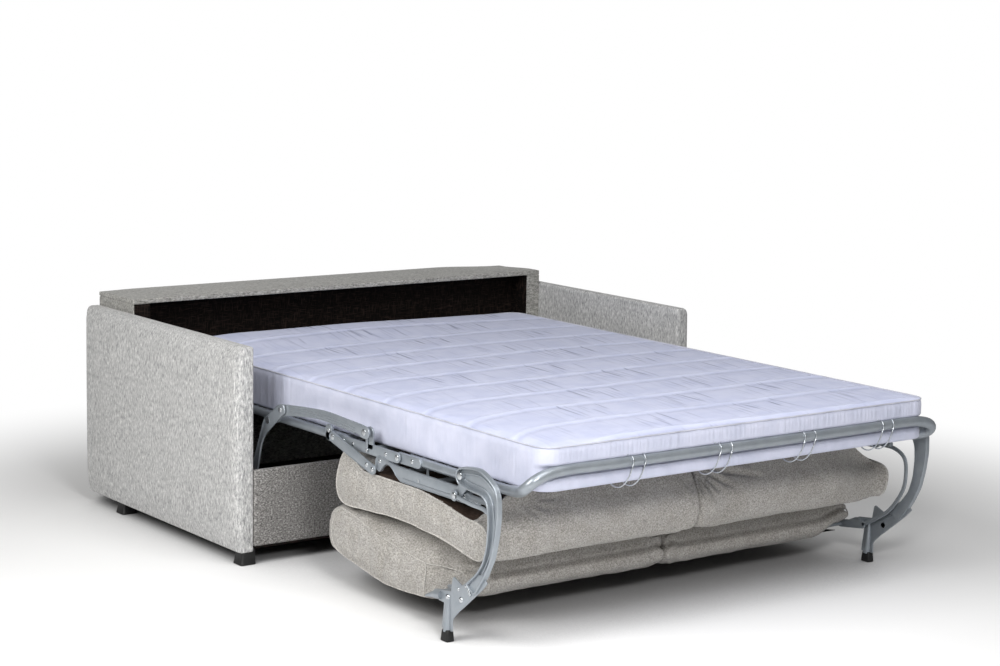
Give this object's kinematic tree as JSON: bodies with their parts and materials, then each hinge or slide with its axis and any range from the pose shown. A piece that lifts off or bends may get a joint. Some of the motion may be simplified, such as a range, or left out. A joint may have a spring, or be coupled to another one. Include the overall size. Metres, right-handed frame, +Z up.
{
  "type": "sofa bed",
  "caption": "Two-seat sofa with a pull-out bed: folding steel frame carries a quilted mattress and, turned under it, the seat and back cushions.",
  "frame": {"origin": "middle of the bounding box on the floor, with the bed pulled out", "axes": "+Z up, +X to the right seen from the bed's foot, the bed reaches out along -Y and the sofa's back is at +Y"},
  "size_m": [1.74, 2.2714, 0.697],
  "materials": {
    "upholstery": "woven, heathered grey",
    "lining": "dark non-woven",
    "felt": "dark felt",
    "ticking": "quilted ticking",
    "steel": "silver-grey paint",
    "wire": "bright wire",
    "black_plastic": "matt black",
    "rubber": "matt black",
    "board": "plain board"
  },
  "bodies": {
    "sofa": {"arm_left": "upholstery", "arm_right": "upholstery", "back_top_slab": "upholstery", "back_panel": "upholstery", "back_upright_left": "upholstery", "back_upright_right": "upholstery", "back_lining": "lining", "base_front_panel": "upholstery", "base_front_rail": "black_plastic", "base_side_rail_left": "board", "base_side_rail_right": "board", "base_bottom_cover": "lining", "front_foot_left": "black_plastic", "front_foot_right": "black_plastic", "rear_foot_left": "black_plastic", "rear_foot_right": "black_plastic", "pivot_bracket_left": "steel", "pivot_bracket_right": "steel"},
    "swing_arms": {"front_swing_arm_left": "steel", "front_swing_arm_right": "steel"},
    "rear_arms": {"rear_swing_arm_left": "steel", "rear_swing_arm_right": "steel"},
    "middle_section": {"middle_frame": "steel", "middle_mesh": "wire", "mattress_middle": "ticking", "mattress_fold_rear": "ticking"},
    "head_section": {"head_frame": "steel", "head_mesh": "wire", "mattress_head": "ticking"},
    "link_section": {"link_frame": "steel", "mattress_fold_front": "ticking"},
    "foot_section": {"foot_frame": "steel", "foot_mesh": "wire", "mattress_foot": "ticking", "mattress_clip_1": "wire", "mattress_clip_2": "wire", "mattress_clip_3": "wire", "mattress_clip_4": "wire"},
    "curved_links": {"curved_link_left": "steel", "curved_link_right": "steel"},
    "diagonal_bars": {"diagonal_bar_left": "steel", "diagonal_bar_right": "steel"},
    "legs": {"leg_left": "steel", "leg_right": "steel", "leg_foot_left": "rubber", "leg_foot_right": "rubber"},
    "seat": {"seat_frame": "steel", "seat_lining": "felt", "seat_cushion_left": "upholstery", "seat_cushion_right": "upholstery"},
    "backrest": {"back_frame": "steel", "back_cover_lining": "lining", "back_cushion_left": "upholstery", "back_cushion_right": "upholstery"}
  },
  "joints": [
    {"name": "bed_fold", "type": "hinge", "parent": "sofa", "child": "swing_arms", "pos_m": [0, 0.26873, 0.127], "axis": [1, 0, 0], "range_deg": [-122.9, 0]},
    {"name": "rear_arm_swing", "type": "hinge", "parent": "sofa", "child": "rear_arms", "pos_m": [0, 0.56873, 0.127], "axis": [1, 0, 0], "range_deg": [-122.9, 0]},
    {"name": "middle_level", "type": "hinge", "parent": "swing_arms", "child": "middle_section", "pos_m": [0, 0.13773, 0.43], "axis": [1, 0, 0], "range_deg": [0, 122.9]},
    {"name": "head_fold", "type": "hinge", "parent": "middle_section", "child": "head_section", "pos_m": [0, 0.55273, 0.43], "axis": [1, 0, 0], "range_deg": [0, 90], "deforming": ["mattress_fold_rear", "mattress_head", "back_lining"]},
    {"name": "link_fold", "type": "hinge", "parent": "middle_section", "child": "link_section", "pos_m": [0, -0.24327, 0.43], "axis": [1, 0, 0], "range_deg": [-90, 0], "deforming": ["mattress_fold_front"]},
    {"name": "foot_fold", "type": "hinge", "parent": "link_section", "child": "foot_section", "pos_m": [0, -0.51527, 0.43], "axis": [1, 0, 0], "range_deg": [-90, 0]},
    {"name": "curved_link_turn", "type": "hinge", "parent": "swing_arms", "child": "curved_links", "pos_m": [0, 0.06573, 0.471], "axis": [1, 0, 0], "range_deg": [0, 110.8]},
    {"name": "diagonal_bar_turn", "type": "hinge", "parent": "middle_section", "child": "diagonal_bars", "pos_m": [0, -0.20027, 0.435], "axis": [1, 0, 0], "range_deg": [-79.8, 0]},
    {"name": "leg_fold", "type": "hinge", "parent": "foot_section", "child": "legs", "pos_m": [0, -0.88427, 0.455], "axis": [1, 0, 0], "range_deg": [-45.5, 0]},
    {"name": "seat_shift", "type": "slide", "parent": "foot_section", "child": "seat", "axis": [0, -1, 0], "range_m": [0, 0.05]},
    {"name": "backrest_raise", "type": "hinge", "parent": "foot_section", "child": "backrest", "pos_m": [0, -0.81227, 0.385], "axis": [1, 0, 0], "range_deg": [-90, 0]}
  ],
  "couplings": [
    {"joint": "rear_arm_swing", "follows": "bed_fold", "ratio": 1},
    {"joint": "middle_level", "follows": "bed_fold", "ratio": -1},
    {"joint": "head_fold", "follows": "bed_fold", "ratio": -0.7323},
    {"joint": "link_fold", "follows": "bed_fold", "ratio": 0.7323},
    {"joint": "foot_fold", "follows": "bed_fold", "ratio": 0.7323},
    {"joint": "curved_link_turn", "follows": "bed_fold", "ratio": -0.90155},
    {"joint": "diagonal_bar_turn", "follows": "bed_fold", "ratio": 0.64931},
    {"joint": "leg_fold", "follows": "bed_fold", "ratio": 0.37022},
    {"joint": "seat_shift", "follows": "bed_fold", "m_per_rad": -0.02331},
    {"joint": "backrest_raise", "follows": "bed_fold", "ratio": 0.7323}
  ]
}
